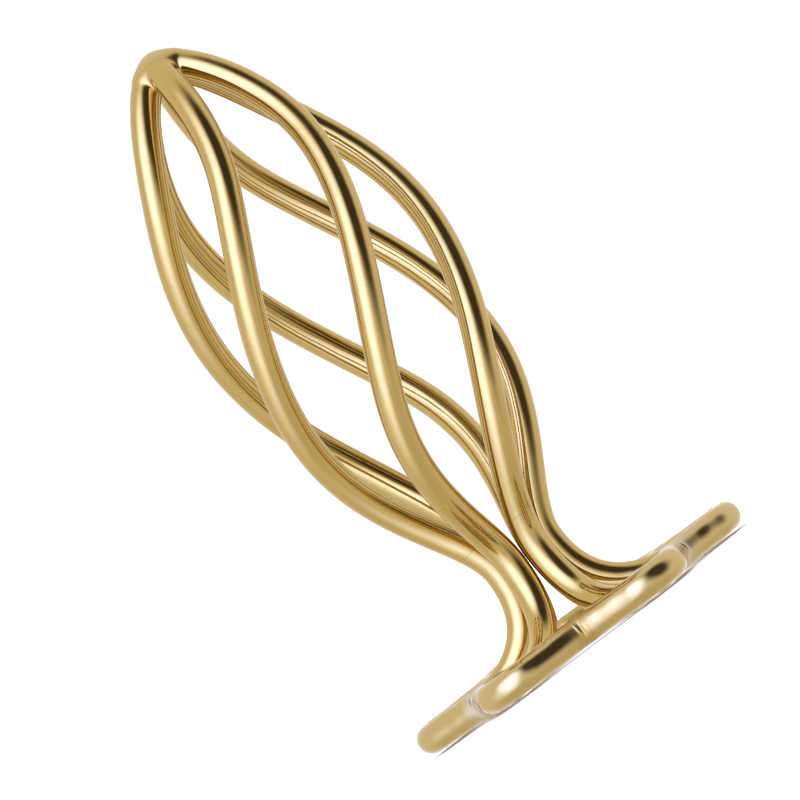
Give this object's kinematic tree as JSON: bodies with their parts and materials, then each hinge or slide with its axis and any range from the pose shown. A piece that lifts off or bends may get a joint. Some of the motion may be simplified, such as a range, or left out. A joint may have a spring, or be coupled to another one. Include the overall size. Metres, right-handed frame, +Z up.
{
  "type": "twisted wire cage on a scalloped wire foot",
  "caption": "Rigid cage of twisted polished gold-coloured rods, drawn in to a narrow neck and flared into a scalloped wire foot.",
  "frame": {"origin": "centre of the foot, on the surface it stands on", "axes": "+Z up the axis of the cage to the tip; +X along one lobe of the foot; -Y faces a valley between two lobes"},
  "size_m": [0.0514, 0.0462, 0.0952],
  "materials": {
    "polished_gold": "polished round rod, bright gold colour",
    "weld_gold": "ground weld, paler and satin"
  },
  "bodies": {
    "root": {"cage_rod_1": "polished_gold", "cage_rod_2": "polished_gold", "cage_rod_3": "polished_gold", "cage_rod_4": "polished_gold", "cage_rod_5": "polished_gold", "cage_rod_6": "polished_gold", "tip_dome": "polished_gold", "base_lobe_1": "polished_gold", "base_lobe_2": "polished_gold", "base_lobe_3": "polished_gold", "base_lobe_4": "polished_gold", "base_lobe_5": "polished_gold", "base_lobe_6": "polished_gold", "lobe_welds": "weld_gold", "spoke_welds": "weld_gold"}
  },
  "joints": []
}
